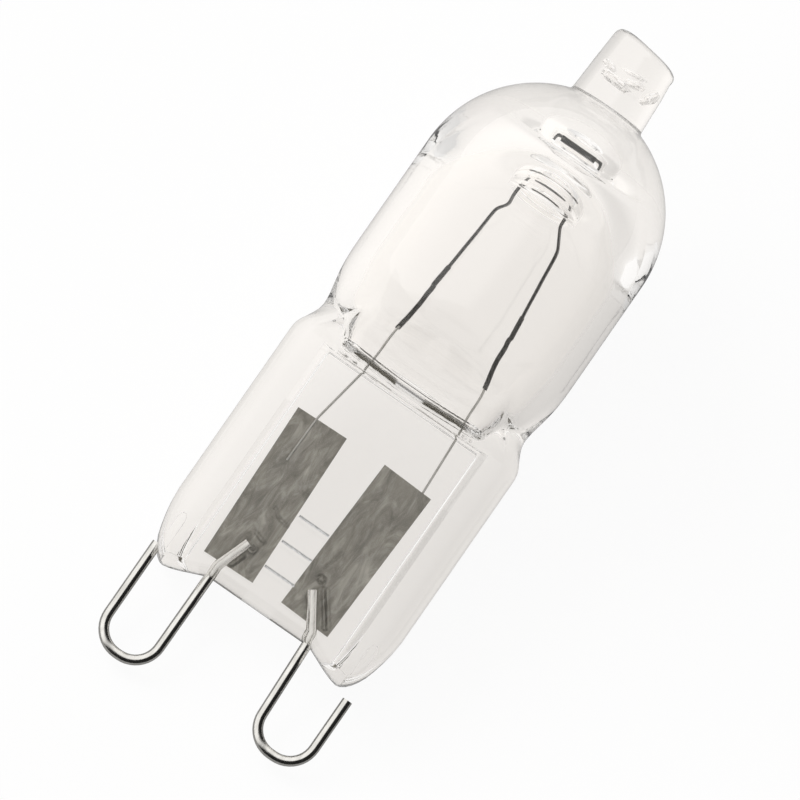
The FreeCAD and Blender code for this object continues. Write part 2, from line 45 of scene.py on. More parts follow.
REST_PLACE = Vector((0.0, -13.6356, 1.8698)) * MILLIMETRE
# Pieces are modelled upright, in millimetres from the lower end of the pinch's web, with the tip up and
# the front towards -Y. This lays them on the floor, on their back, with the tip raised.
LAID_DOWN = (
    Matrix.Translation(REST_PLACE)
    @ Matrix.Rotation(REST_TILT - math.pi / 2, 4, "X")
    @ Matrix.Scale(MILLIMETRE, 4)
)
FOIL_WIDTH = 2.82
FOIL_THICKNESS = 0.04
FOIL_START = 0.94
FOIL_TOP = 9.35
FOIL_CELLS = (56, 168)
# Long shallow waves from rolling, and short ones that fade out round each weld.
ROLLING_WAVE = 1.3
ROLLING_DEPTH = 0.07
WELD_WAVE = 0.42
WELD_DEPTH = 0.16
WELD_REACH = 1.5
# The middle of a foil's lower end, its lean to the right, and where its weld is.
FOILS = {
    "left": {"x": -2.44, "lean": -1.6, "weld": (-2.2, 2.2)},
    "right": {"x": 2.06, "lean": 2.2, "weld": (1.75, 2.1)},
}
# Creases that the welds have left: both ends, half of the width, and how far each stands out at the
# front. They are pressed in steps, each over a share of the width.
CREASE_STEPS = (1.0, 0.7, 0.4)
CREASES = {
    "left": [
        ((-2.3, 3.1), (-1.68, 2.92), 0.1, 0.07), ((-2.2, 4.62), (-1.75, 4.3), 0.12, -0.06),
        ((-1.75, 4.3), (-1.25, 4.22), 0.12, -0.06), ((-2.15, 1.75), (-2.38, 1.15), 0.16, -0.1),
    ],
    "right": [
        ((1.95, 2.75), (3.1, 1.15), 0.14, -0.1), ((2.2, 2.75), (3.3, 1.25), 0.1, 0.07),
        ((1.7, 4.6), (1.45, 3.6), 0.1, -0.05),
    ],
}
DIMPLE = (1.62, 3.05)
DIMPLE_RADIUS = 0.27
DIMPLE_DEPTH = 0.09
# Shares of the dimple's radius and of its depth: it sinks from its rim and rises again in the middle.
DIMPLE_STEPS = ((1.0, -0.4), (0.75, -0.6), (0.45, 0.9), (0.25, 0.4))
# The left foil's outer edge bends back over these cells, a little more at each.
EDGE_CELLS = 14
EDGE_STEP = 0.0007
SMOOTH_ANGLE = math.radians(40)


def deselect():
    if bpy.context.mode != "OBJECT":
        bpy.ops.object.mode_set(mode="OBJECT")
    bpy.ops.object.select_all(action="DESELECT")


def pick(piece):
    deselect()
    piece.select_set(True)
    bpy.context.view_layer.objects.active = piece


def set_down():
    """Puts the place, turn and size of the picked pieces into their meshes."""
    bpy.ops.object.transform_apply(location=True, rotation=True, scale=True)


def edit(piece):
    pick(piece)
    bpy.ops.object.mode_set(mode="EDIT")
    bpy.ops.mesh.select_all(action="SELECT")


def select_where(piece, wanted, kind="VERT"):
    """In edit mode, selects what lies where the test says, and nothing else."""
    bpy.ops.mesh.select_mode(type=kind)
    bpy.ops.mesh.select_all(action="DESELECT")
    bpy.ops.object.mode_set(mode="OBJECT")
    mesh = piece.data
    if kind == "VERT":
        for vertex in mesh.vertices:
            vertex.select = wanted(vertex.co)
    else:
        for edge in mesh.edges:
            ends = [mesh.vertices[number].co for number in edge.vertices]
            edge.select = wanted(*ends)
    bpy.ops.object.mode_set(mode="EDIT")


def apply_modifiers(piece):
    pick(piece)
    for modifier in list(piece.modifiers):
        bpy.ops.object.modifier_apply(modifier=modifier.name)


def lay_down(piece, name):
    """Moves an upright piece to its place in the resting lamp, with the place in its mesh."""
    pick(piece)
    piece.name = name
    piece.data.name = name
    piece.matrix_world = LAID_DOWN
    set_down()


def stands_for(piece, node):
    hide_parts(node)
    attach(piece, "root")


def new_material(name):
    material = bpy.data.materials.new(name)
    material.use_nodes = True
    tree = material.node_tree
    return material, tree, tree.nodes["Principled BSDF"]


def noise(tree, stretch, detail, roughness=0.5, swirl=0.0):
    """Noise on object coordinates, with its grain per metre along each axis."""
    coordinates = tree.nodes.new("ShaderNodeTexCoord")
    mapping = tree.nodes.new("ShaderNodeMapping")
    mapping.inputs["Scale"].default_value = stretch
    tree.links.new(coordinates.outputs["Object"], mapping.inputs["Vector"])
    texture = tree.nodes.new("ShaderNodeTexNoise")
    texture.inputs["Scale"].default_value = 1.0
    texture.inputs["Detail"].default_value = detail
    texture.inputs["Roughness"].default_value = roughness
    texture.inputs["Distortion"].default_value = swirl
    tree.links.new(mapping.outputs["Vector"], texture.inputs["Vector"])
    return texture.outputs["Fac"]


def ramp(tree, factor, stops):
    """A colour ramp through (position, grey or colour) stops."""
    node = tree.nodes.new("ShaderNodeValToRGB")
    elements = node.color_ramp.elements
    while len(elements) < len(stops):
        elements.new(0.5)
    for element, (position, colour) in zip(elements, stops):
        element.position = position
        element.color = (*colour, 1.0) if isinstance(colour, tuple) else (colour, colour, colour, 1.0)
    tree.links.new(factor, node.inputs["Fac"])
    return node.outputs["Color"]


def multiply_colours(tree, first, second):
    node = tree.nodes.new("ShaderNodeMix")
    node.data_type = "RGBA"
    node.blend_type = "MULTIPLY"
    node.inputs["Factor"].default_value = 1.0
    tree.links.new(first, node.inputs["A"])
    tree.links.new(second, node.inputs["B"])
    return node.outputs["Result"]


def bump(tree, shader, height, strength, distance):
    node = tree.nodes.new("ShaderNodeBump")
    node.inputs["Strength"].default_value = strength
    node.inputs["Distance"].default_value = distance
    tree.links.new(height, node.inputs["Height"])
    tree.links.new(node.outputs["Normal"], shader.inputs["Normal"])


foil_metal, tree, shader = new_material("sealing_foil")
streaks = noise(tree, stretch=(1500.0, 480.0, 480.0), detail=6.0, roughness=0.66, swirl=1.4)
clouds = noise(tree, stretch=(620.0, 420.0, 420.0), detail=3.0, roughness=0.55, swirl=0.8)
grain = noise(tree, stretch=(9000.0, 5000.0, 5000.0), detail=2.0)
STREAK_COLOURS = [(0.3, (0.2, 0.188, 0.158)), (0.5, (0.335, 0.318, 0.275)), (0.68, (0.53, 0.51, 0.455))]
CLOUD_SHADES = [(0.32, 0.68), (0.55, 0.94), (0.72, 1.0)]
CLOUD_ROUGHNESS = [(0.3, 0.36), (0.7, 0.52)]
foil_colour = multiply_colours(
    tree, ramp(tree, streaks, STREAK_COLOURS), ramp(tree, clouds, CLOUD_SHADES)
)
tree.links.new(foil_colour, shader.inputs["Base Color"])
tree.links.new(ramp(tree, clouds, CLOUD_ROUGHNESS), shader.inputs["Roughness"])
shader.inputs["Metallic"].default_value = 0.6
bump(tree, shader, grain, strength=0.35, distance=0.00003)


def wrinkles(sheet, name, size, depth, group=""):
    """Presses a cloudy relief into a sheet."""
    relief = bpy.data.textures.new(name, "CLOUDS")
    relief.noise_scale = size
    relief.noise_depth = 2
    press = sheet.modifiers.new(name, "DISPLACE")
    press.texture = relief
    press.texture_coords = "LOCAL"
    press.direction = "NORMAL"
    press.mid_level = 0.5
    press.strength = depth
    press.vertex_group = group
    apply_modifiers(sheet)


def thicken(sheet, thickness):
    """Gives a sheet its thickness, half of it to each side."""
    thick = sheet.modifiers.new("thickness", "SOLIDIFY")
    thick.thickness = thickness
    thick.offset = 0.0


def from_point(x, z):
    """The distance of a vertex from a point, seen from the front."""
    return lambda co: math.hypot(co.x - x, co.z - z)


def from_line(start, end):
    """The distance of a vertex from a short line, seen from the front."""
    start, end = Vector(start), Vector(end)
    run = end - start

    def distance(co):
        point = Vector((co.x, co.z))
        share = min(max((point - start).dot(run) / run.length_squared, 0.0), 1.0)
        return (point - start - share * run).length

    return distance


for side, place in FOILS.items():
    lean = math.radians(place["lean"])
    length = (FOIL_TOP - FOIL_START) / math.cos(lean)
    deselect()
    bpy.ops.mesh.primitive_grid_add(x_subdivisions=FOIL_CELLS[0], y_subdivisions=FOIL_CELLS[1], size=1.0)
    sheet = bpy.context.object
    sheet.scale = (FOIL_WIDTH, length, 1.0)
    set_down()
    sheet.rotation_euler = (math.pi / 2, lean, 0.0)
    sheet.location = (place["x"] + length / 2 * math.sin(lean), 0.0, (FOIL_START + FOIL_TOP) / 2)
    set_down()
    weld_distance = from_point(*place["weld"])
    weld_group = sheet.vertex_groups.new(name="weld")
    for vertex in sheet.data.vertices:
        pull = 1.0 - weld_distance(vertex.co) / WELD_REACH
        if pull > 0:
            weld_group.add([vertex.index], pull, "REPLACE")
    wrinkles(sheet, f"{side}_rolling", ROLLING_WAVE, ROLLING_DEPTH)
    wrinkles(sheet, f"{side}_weld_wrinkles", WELD_WAVE, WELD_DEPTH, "weld")
    edit(sheet)
    for start, end, half, height in CREASES[side]:
        crease_distance = from_line(start, end)
        for share in CREASE_STEPS:
            select_where(sheet, lambda co: crease_distance(co) < half * share)
            bpy.ops.transform.translate(value=(0, -height / len(CREASE_STEPS), 0))
    if side == "right":
        dimple_distance = from_point(*DIMPLE)
        for share, step in DIMPLE_STEPS:
            select_where(sheet, lambda co: dimple_distance(co) < DIMPLE_RADIUS * share)
            bpy.ops.transform.translate(value=(0, -step * DIMPLE_DEPTH, 0))
    else:
        for cells in range(EDGE_CELLS, 0, -1):
            margin = place["x"] - FOIL_WIDTH / 2 + cells * FOIL_WIDTH / FOIL_CELLS[0]
            select_where(sheet, lambda co: co.x < margin + co.z * math.tan(lean))
            bpy.ops.transform.translate(value=(0, EDGE_STEP * (EDGE_CELLS + 1 - cells), 0))
    bpy.ops.object.mode_set(mode="OBJECT")
    thicken(sheet, FOIL_THICKNESS)
    apply_modifiers(sheet)
    pick(sheet)
    bpy.ops.object.shade_smooth_by_angle(angle=SMOOTH_ANGLE)
    lay_down(sheet, f"{side}_foil_sheet")
    sheet.data.materials.append(foil_metal)
    stands_for(sheet, f"{side}_foil")


# Contact loops. Drawn molybdenum wire, bent to a hairpin outside the glass. The inner end is bent aside and
# welded to the front of a foil. The wire is polished by drawing, with faint lines along it.

# Where on the noise the first and the second look of a wire stand.
WIRE_STOPS = (0.3, 0.7)


def turn_outward(piece):
    edit(piece)
    bpy.ops.mesh.normals_make_consistent(inside=False)
    bpy.ops.object.mode_set(mode="OBJECT")


def dress(node, material):
    """Gives a CAD node a better material."""
    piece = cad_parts[node]
    piece.data.materials.clear()
    piece.data.materials.append(material)


def bare_wire(name, stretch, detail, colours, roughness):
    """Bare metal with fine marks, between two colours and between two roughnesses."""
    metal, tree, shader = new_material(name)
    marks = noise(tree, stretch, detail)
    for entry, looks in (("Base Color", colours), ("Roughness", roughness)):
        stops = list(zip(WIRE_STOPS, looks))
        tree.links.new(ramp(tree, marks, stops), shader.inputs[entry])
    shader.inputs["Metallic"].default_value = 1.0
    return metal


loop_metal = bare_wire(
    "loop_wire", stretch=(5000.0, 700.0, 5000.0), detail=3.0,
    colours=((0.6, 0.59, 0.56), (0.78, 0.77, 0.74)), roughness=(0.12, 0.2),
)
for side in FOILS:
    dress(f"{side}_contact_loop", loop_metal)

# The weld has squeezed a lip of the foil's metal out beside the left wire's end, and it has curled up.
CURL_CENTRE = Vector((-2.0, -0.3, 2.36))
CURL_RADIUS = 0.2
CURL_DEPTH = 0.2
CURL_THICKNESS = 0.1
CURL_EDGE = 0.02
CURL_TURN = math.radians(300)
CURL_STEPS = 28


def start_point(place):
    """A single point to draw from, in edit mode: a small plane, merged to its middle."""
    deselect()
    bpy.ops.mesh.primitive_plane_add(size=1.0, location=place)
    piece = bpy.context.object
    set_down()
    edit(piece)
    bpy.ops.mesh.merge(type="CENTER")
    return piece


curl = start_point(CURL_CENTRE - Vector((CURL_RADIUS, CURL_DEPTH / 2, 0)))
bpy.ops.mesh.extrude_region_move(TRANSFORM_OT_translate={"value": (0, CURL_DEPTH, 0)})
bpy.ops.mesh.select_all(action="SELECT")
bpy.ops.mesh.spin(steps=CURL_STEPS, angle=CURL_TURN, center=CURL_CENTRE, axis=(0, 1, 0))
bpy.ops.object.mode_set(mode="OBJECT")
thicken(curl, CURL_THICKNESS)
rim = curl.modifiers.new("rim", "BEVEL")
rim.width = CURL_EDGE
rim.segments = 2
apply_modifiers(curl)
turn_outward(curl)
bpy.ops.object.shade_smooth_by_angle(angle=SMOOTH_ANGLE)
lay_down(curl, "left_weld_curl")
curl.data.materials.append(foil_metal)
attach(curl, "root")


# Inner leads. Fine molybdenum wire from each foil up through the floor of the gas space to a filament leg.
# It is drawn and left bare, dull and dark.
lead_metal = bare_wire(
    "lead_wire", stretch=(6000.0, 900.0, 6000.0), detail=2.0,
    colours=((0.4, 0.39, 0.36), (0.6, 0.59, 0.56)), roughness=(0.4, 0.55),
)
for side in FOILS:
    dress(f"{side}_inner_lead", lead_metal)


# Filament. One tungsten wire, wound into a fine close coil, which runs up one leg, through the end of the
# exhaust tube and down the other leg. It is bent by hand tools, with a kink in each leg.
FILAMENT_ROUTE = [
    (-2.24, 15.65), (-1.681, 23.0), (-1.32, 23.75), (-1.405, 24.56), (-1.405, 26.4),
    (1.405, 26.4), (1.405, 24.56), (1.69, 23.75), (1.966, 23.0), (2.77, 15.65),
]
FILAMENT_RADIUS = 0.1
COIL_WIRE = 0.026
COIL_PITCH = 0.062
BEND_OFFSET = 0.22
BEND_SEGMENTS = 6
WIRE_SIDES = 6
TURN_STEPS = 9
TOLERANCE = 1e-3


def near(value, target):
    return abs(value - target) < TOLERANCE


def route_curve(corners, bend):
    """A line from corner to corner, rounded at its bends, as a curve to wind along."""
    route = start_point((corners[0][0], 0, corners[0][1]))
    for start, end in zip(corners, corners[1:]):
        step = (end[0] - start[0], 0, end[1] - start[1])
        bpy.ops.mesh.extrude_region_move(TRANSFORM_OT_translate={"value": step})
    if bend:
        inner = [Vector((x, 0, z)) for x, z in corners[1:-1]]
        select_where(route, lambda co: any(near((co - corner).length, 0) for corner in inner))
        bpy.ops.mesh.bevel(affect="VERTICES", offset=bend, segments=BEND_SEGMENTS)
    bpy.ops.object.mode_set(mode="OBJECT")
    bpy.ops.object.convert(target="CURVE")
    return bpy.context.object


def wind(corners, bend, radius, wire, pitch):
    """A wire wound round a route, from a small circle that a screw sweeps and a curve bends."""
    route = route_curve(corners, bend)
    length = route.data.splines[0].calc_length()
    deselect()
    bpy.ops.mesh.primitive_circle_add(
        vertices=WIRE_SIDES, radius=wire, location=(radius - wire, 0, 0), rotation=(math.pi / 2, 0, 0)
    )
    coil = bpy.context.object
    set_down()
    screw = coil.modifiers.new("turns", "SCREW")
    screw.axis = "Z"
    screw.iterations = int(length / pitch)
    screw.screw_offset = length / screw.iterations
    screw.steps = TURN_STEPS
    screw.render_steps = TURN_STEPS
    bend_along = coil.modifiers.new("route", "CURVE")
    bend_along.object = route
    bend_along.deform_axis = "POS_Z"
    apply_modifiers(coil)
    bpy.data.objects.remove(route)
    turn_outward(coil)
    bpy.ops.object.shade_smooth()
    return coil


tungsten = bare_wire(
    "filament_wire", stretch=(5000.0, 5000.0, 5000.0), detail=2.0,
    colours=((0.07, 0.068, 0.062), (0.14, 0.137, 0.127)), roughness=(0.35, 0.55),
)
filament = wind(FILAMENT_ROUTE, BEND_OFFSET, FILAMENT_RADIUS, COIL_WIRE, COIL_PITCH)
lay_down(filament, "filament_coil")
filament.data.materials.append(tungsten)
stands_for(filament, "filament")


# Leg sleeves. A second fine winding over the foot of each filament leg, which clamps it to its lead.
# It is tungsten wire, slipped over the leg.
SLEEVE_RADIUS = 0.135
SLEEVE_WIRE = 0.02
SLEEVE_PITCH = 0.045
SLEEVE_LENGTH = 3.53
SLEEVE_OVERHANG = 0.2
LEGS = {"left": (FILAMENT_ROUTE[0], FILAMENT_ROUTE[1]), "right": (FILAMENT_ROUTE[-1], FILAMENT_ROUTE[-2])}
for side, ((foot_x, foot_z), (kink_x, kink_z)) in LEGS.items():
    slope = (kink_x - foot_x) / (kink_z - foot_z)
    run = [(foot_x + slope * rise, foot_z + rise) for rise in (-SLEEVE_OVERHANG, SLEEVE_LENGTH)]
    winding = wind(run, 0, SLEEVE_RADIUS, SLEEVE_WIRE, SLEEVE_PITCH)
    lay_down(winding, f"{side}_leg_winding")
    winding.data.materials.append(tungsten)
    stands_for(winding, f"{side}_leg_sleeve")

# The bight is overwound in the same way, where the exhaust tube's end holds it.
BIGHT_RUN = [(-1.05, 26.4), (0.95, 26.4)]
BIGHT_RADIUS = 0.21
BIGHT_WIRE = 0.035
BIGHT_PITCH = 0.078
winding = wind(BIGHT_RUN, 0, BIGHT_RADIUS, BIGHT_WIRE, BIGHT_PITCH)
lay_down(winding, "bight_winding")
winding.data.materials.append(tungsten)
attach(winding, "root")


# Quartz envelope. A quartz tube, domed at its end and sealed at the exhaust tip, is pressed flat between
# two jaws at its open end. The jaws leave a rail down each side of a thin web. It is one piece of clear
# glass, and the metal is sealed into it.
BULB_RADIUS = 6.34
BULB_WALL = 1.0
DOME = 23.8
PINCH_HALF = 6.598
PINCH_DEEP = 1.95
RAIL_ROUND = 0.8
CORNER_STEPS = 8
LONG_CUTS = 39
SHORT_CUTS = 15


def stack_sections(sections, wide, deep, corner):
    """A closed skin through level sections of (height, half width, half depth, roundness), from the lowest
    up. Roundness 0 keeps the form of a rounded rectangle of the stated half size, and 1 is an oval."""
    deselect()
    height, first_wide, first_deep, roundness = sections[0]
    bpy.ops.mesh.primitive_plane_add(size=2.0, location=(0, 0, height))
    skin = bpy.context.object
    skin.scale = (wide, deep, 1.0)
    set_down()
    edit(skin)
    bpy.ops.mesh.bevel(affect="VERTICES", offset=corner, segments=CORNER_STEPS)
    bpy.ops.mesh.select_all(action="SELECT")
    bpy.ops.mesh.delete(type="ONLY_FACE")
    select_where(skin, lambda a, b: abs(a.x - b.x) > wide, "EDGE")
    bpy.ops.mesh.subdivide(number_cuts=LONG_CUTS)
    select_where(skin, lambda a, b: near(a.x, b.x), "EDGE")
    bpy.ops.mesh.subdivide(number_cuts=SHORT_CUTS)
    bpy.ops.mesh.select_mode(type="VERT")
    bpy.ops.mesh.select_all(action="SELECT")
    narrowing = (first_wide / wide, first_deep / deep, 1.0)
    bpy.ops.transform.resize(value=narrowing, center_override=(0, 0, height))
    wide, deep = first_wide, first_deep
    for next_height, next_wide, next_deep, next_roundness in sections[1:]:
        middle = (0, 0, next_height)
        bpy.ops.mesh.extrude_region_move(TRANSFORM_OT_translate={"value": (0, 0, next_height - height)})
        if next_roundness > roundness:
            bpy.ops.transform.resize(value=(1 / wide, 1 / deep, 1.0), center_override=middle)
            bpy.ops.transform.tosphere(value=(next_roundness - roundness) / (1 - roundness))
            skin.update_from_editmode()
            ring = [vertex.co for vertex in skin.data.vertices if vertex.select]
            wide = max(co.x for co in ring)
            deep = max(co.y for co in ring)
        bpy.ops.transform.resize(value=(next_wide / wide, next_deep / deep, 1.0), center_override=middle)
        height, wide, deep, roundness = next_height, next_wide, next_deep, next_roundness
    bpy.ops.mesh.edge_face_add()
    select_where(skin, lambda co: near(co.z, sections[0][0]))
    bpy.ops.mesh.edge_face_add()
    turn_outward(skin)
    return skin


def round_section(height, radius):
    return (height, radius, radius, 1.0)


def arc(centre_height, centre_radius, radius, start, end, count):
    """Round sections along an arc of a profile, with angles measured up from level."""
    sections = []
    for number in range(count + 1):
        angle = math.radians(start + (end - start) * number / count)
        height = centre_height + radius * math.sin(angle)
        sections.append(round_section(height, centre_radius + radius * math.cos(angle)))
    return sections


# Outside: the pinch with its tapered heels, the shoulders that narrow to the neck, the bulb, and the tip,
# with its root blended into the dome and its end melted round. A section of the heels is (height, half
# width, half depth), and one of the shoulders has its roundness too.
HEELS = [
    (-0.8, 4.9, 1.3), (-0.76, 5.14, 1.5), (-0.66, 5.38, 1.65), (-0.5, 5.6, 1.76), (-0.28, 5.79, 1.84),
    (0.0, 5.97, 1.9), (0.4, 6.16, 1.935), (0.9, 6.31, PINCH_DEEP), (1.5, 6.45, PINCH_DEEP),
    (2.1, 6.55, PINCH_DEEP), (2.7, PINCH_HALF, PINCH_DEEP),
]
SHOULDERS = [
    (12.1, PINCH_HALF, PINCH_DEEP, 0.0), (12.4, 6.59, PINCH_DEEP, 0.0),
    (12.7, 6.53, 1.96, 0.0), (13.0, 6.42, 2.0, 0.03), (13.3, 6.27, 2.09, 0.1), (13.6, 6.12, 2.25, 0.2),
    (13.9, 6.0, 2.48, 0.33), (14.2, 5.95, 2.78, 0.47), (14.5, 5.96, 3.14, 0.6), (14.8, 6.0, 3.55, 0.72),
    (15.1, 6.06, 4.0, 0.82), (15.4, 6.12, 4.46, 0.9), (15.7, 6.18, 4.9, 0.96), (16.0, 6.23, 5.3, 1.0),
    (16.3, 6.27, 5.64, 1.0), (16.6, 6.3, 5.92, 1.0), (16.9, 6.32, 6.12, 1.0), (17.2, 6.335, 6.26, 1.0),
    (17.5, BULB_RADIUS, 6.33, 1.0),
]
PINCH_LEVELS = (4.0, 6.0, 8.0, 10.0)
BARREL_LEVELS = (18.6, 20.0, 21.4, 22.6)
DOME_STEPS = 36
TIP_ROOT = 2.03
TIP_END = 1.87
TIP_TOP = 33.75
TIP_BLEND = 0.25
BLEND_STEPS = 9
# Where the tip's side has a section, as shares of the way from the blend to the melted end.
TIP_SHARES = (0.2, 0.4, 0.6)
# The melted end is this high, with a fuller curve than an oval's. It is tilted sideways, and from front to
# back about a line behind the tip's middle.
TIP_EDGE = 0.7
TIP_FULLNESS = 0.58
TIP_STEPS = 24
TIP_SLANT = math.radians(8.5)
TIP_LEAN = math.radians(6.0)
TIP_PIVOT = 1.4
tip_angle = math.degrees(math.acos((TIP_ROOT + TIP_BLEND) / (BULB_RADIUS + TIP_BLEND)))
blend_height = DOME + (BULB_RADIUS + TIP_BLEND) * math.sin(math.radians(tip_angle))
edge_height = TIP_TOP - TIP_EDGE
tip_run = edge_height - blend_height
tip_dome = []
for number in range(TIP_STEPS):
    turn = math.pi / 2 * number / TIP_STEPS
    rise = TIP_EDGE * math.sin(turn) ** TIP_FULLNESS
    tip_dome.append(round_section(edge_height + rise, TIP_END * math.cos(turn) ** TIP_FULLNESS))
glass = stack_sections(
    [(*heel, 0.0) for heel in HEELS]
    + [(height, PINCH_HALF, PINCH_DEEP, 0.0) for height in PINCH_LEVELS]
    + SHOULDERS
    + [round_section(height, BULB_RADIUS) for height in BARREL_LEVELS]
    + arc(DOME, 0, BULB_RADIUS, 0, tip_angle, DOME_STEPS)
    + arc(blend_height, TIP_ROOT + TIP_BLEND, TIP_BLEND, 180 + tip_angle, 180, BLEND_STEPS)[1:]
    + [round_section(blend_height + share * tip_run, TIP_ROOT + share * (TIP_END - TIP_ROOT))
       for share in TIP_SHARES]
    + tip_dome,
    PINCH_HALF, PINCH_DEEP, RAIL_ROUND,
)
edit(glass)
select_where(glass, lambda co: co.z > edge_height - TOLERANCE)
bpy.ops.transform.rotate(value=-TIP_SLANT, orient_axis="Y", center_override=(0, 0, edge_height))
bpy.ops.transform.rotate(value=-TIP_LEAN, orient_axis="X", center_override=(0, TIP_PIVOT, edge_height))
bpy.ops.object.mode_set(mode="OBJECT")


def block(x, y, z):
    """A block between two values along each axis."""
    deselect()
    bpy.ops.mesh.primitive_cube_add(size=1.0)
    piece = bpy.context.object
    piece.scale = [high - low for low, high in (x, y, z)]
    piece.location = [(low + high) / 2 for low, high in (x, y, z)]
    set_down()
    return piece


def round_off(piece, test, radius, segments):
    """Rounds the edges where the test says."""
    edit(piece)
    select_where(piece, test, "EDGE")
    bpy.ops.mesh.bevel(affect="EDGES", offset=radius, segments=segments, profile=0.5)
    bpy.ops.object.mode_set(mode="OBJECT")


def carve(piece, tool):
    """Takes a tool's form out of a piece."""
    cutter = piece.modifiers.new("carve", "BOOLEAN")
    cutter.operation = "DIFFERENCE"
    cutter.solver = "EXACT"
    cutter.object = tool
    apply_modifiers(piece)
    bpy.data.objects.remove(tool)


# Pressed by the jaws: a recess on each face, the slanted end between the feet, a groove at the foot of each
# rail for the loop's end, and three fine marks between the foils.
WEB_DEEP = 1.25
WEB_HALF = 4.5
RAIL_SLOPE = 0.35
RECESS_TOP = 12.5
RECESS_ROUND = 0.16
RECESS_SEGMENTS = 5
# How far out the tools reach past the pinch's faces, and how far down past its end.
OUTSIDE = PINCH_DEEP + 1.0
BELOW = -2.0
for face in (-1, 1):
    depths = sorted((face * WEB_DEEP, face * OUTSIDE))
    recess = block((-WEB_HALF, WEB_HALF), depths, (BELOW, RECESS_TOP))
    edit(recess)
    select_where(recess, lambda co: near(co.y, face * OUTSIDE))
    spread = 1 + RAIL_SLOPE * (OUTSIDE - WEB_DEEP) / (PINCH_DEEP - WEB_DEEP) / WEB_HALF
    bpy.ops.transform.resize(value=(spread, 1, 1), center_override=(0, 0, 0))
    bpy.ops.object.mode_set(mode="OBJECT")
    round_off(
        recess,
        lambda a, b: all(near(p.y, face * WEB_DEEP) for p in (a, b)) and max(a.z, b.z) > 0,
        RECESS_ROUND, RECESS_SEGMENTS,
    )
    carve(glass, recess)

# How far across the slanted end has dropped how much.
SLANT = [(3.0, 0.0), (4.2, 0.51), (4.55, 0.64), (4.8, 0.72), (5.3, 0.82)]
slant = block((-SLANT[-1][0], SLANT[-1][0]), (-OUTSIDE, OUTSIDE), (BELOW, 0))
edit(slant)
for across, _ in SLANT[:-1]:
    for side in (-1, 1):
        bpy.ops.mesh.select_all(action="SELECT")
        bpy.ops.mesh.bisect(plane_co=(side * across, 0, 0), plane_no=(1, 0, 0))
for across, drop in SLANT[1:]:
    select_where(slant, lambda co: near(abs(co.x), across) and near(co.z, 0))
    bpy.ops.transform.translate(value=(0, 0, -drop))
# The end is melted round from front to back: how far from the middle it has risen how much.
ROUND_END = [(0.5, 0.03), (0.8, 0.1), (1.0, 0.2), (1.12, 0.3), (1.2, 0.42), (1.26, 0.6)]
for away, _ in ROUND_END:
    for face in (-1, 1):
        bpy.ops.mesh.select_all(action="SELECT")
        bpy.ops.mesh.bisect(plane_co=(0, face * away, 0), plane_no=(0, 1, 0))
for away, rise in ROUND_END:
    select_where(slant, lambda co: near(abs(co.y), away) and not near(co.z, BELOW))
    bpy.ops.transform.translate(value=(0, 0, rise))
select_where(slant, lambda co: near(abs(co.y), OUTSIDE) and not near(co.z, BELOW))
bpy.ops.transform.translate(value=(0, 0, ROUND_END[-1][1]))
bpy.ops.object.mode_set(mode="OBJECT")
carve(glass, slant)

GROOVE_X = 5.65
GROOVE_HALF = 0.525
GROOVE_DEEP = 0.14
GROOVE_TOP = 2.1
GROOVE_TAPER = 0.4
# How much of the groove's half width its round end takes up.
GROOVE_ROUND = 0.98
GROOVE_SEGMENTS = 8
for side in (-1, 1):
    groove = block(
        (side * GROOVE_X - GROOVE_HALF, side * GROOVE_X + GROOVE_HALF),
        (-OUTSIDE, -PINCH_DEEP + GROOVE_DEEP),
        (BELOW, GROOVE_TOP),
    )
    round_off(
        groove, lambda a, b: near(a.z, GROOVE_TOP) and near(b.z, GROOVE_TOP) and near(a.x, b.x),
        GROOVE_HALF * GROOVE_ROUND, GROOVE_SEGMENTS,
    )
    edit(groove)
    select_where(groove, lambda co: near(co.y, -PINCH_DEEP + GROOVE_DEEP))
    bpy.ops.transform.resize(value=(GROOVE_TAPER, 1, 1), center_override=(side * GROOVE_X, 0, 0))
    bpy.ops.transform.translate(value=(0, 0, -GROOVE_HALF * (1 - GROOVE_TAPER)))
    bpy.ops.object.mode_set(mode="OBJECT")
    carve(glass, groove)

MARK_X = (-1.015, 0.735)
MARK_SIDE = 0.1
MARK_HEIGHTS = (1.95, 3.42, 4.9)
for height in MARK_HEIGHTS:
    mark = block(MARK_X, (-MARK_SIDE / 2, MARK_SIDE / 2), (-MARK_SIDE / 2, MARK_SIDE / 2))
    mark.rotation_euler = (math.pi / 4, 0, 0)
    mark.location = (0, -WEB_DEEP, height)
    set_down()
    carve(glass, mark)

# Gas space: a flat trough between the leads, the bulb's inside, and the thick crown, out of which the end
# of the exhaust tube stands. Its bore is melted shut, and holds the filament's bight.
INNER = BULB_RADIUS - BULB_WALL
CROWN_WALL = 2.8
CROWN = DOME + BULB_RADIUS - CROWN_WALL - INNER
CROWN_STEPS = 28
INNER_LEVELS = (18.6, 19.8)
STUB_OUT = 2.03
STUB_IN = 1.55
STUB_END = 24.95
STUB_STEPS = 8
FLARE = 0.9
FLARE_STEPS = 12
BORE_TOP = 27.2
BORE_CURVE = 0.6
BORE_ANGLES = range(0, 90, 9)
BORE_POINT = 0.02
# The heated bore has drawn together in fine rings.
BORE_BEADS = (25.35, 25.75, 26.2)
BEAD_HEIGHT = 0.08
BEAD_REACH = 0.07
TROUGH_TOP = 13.55
TROUGH_RISE = 0.6
TROUGH_DEEP = 1.2
TROUGH_HALF = 4.3
TROUGH_END = 0.45
TROUGH_CORNER = 1.0
TROUGH_ANGLES = range(-84, 1, 7)
# The pressed glass has left a fine bead round the trough, this far up its round floor.
FLOW_ANGLE = -14
FLOW_BEAD = 0.07
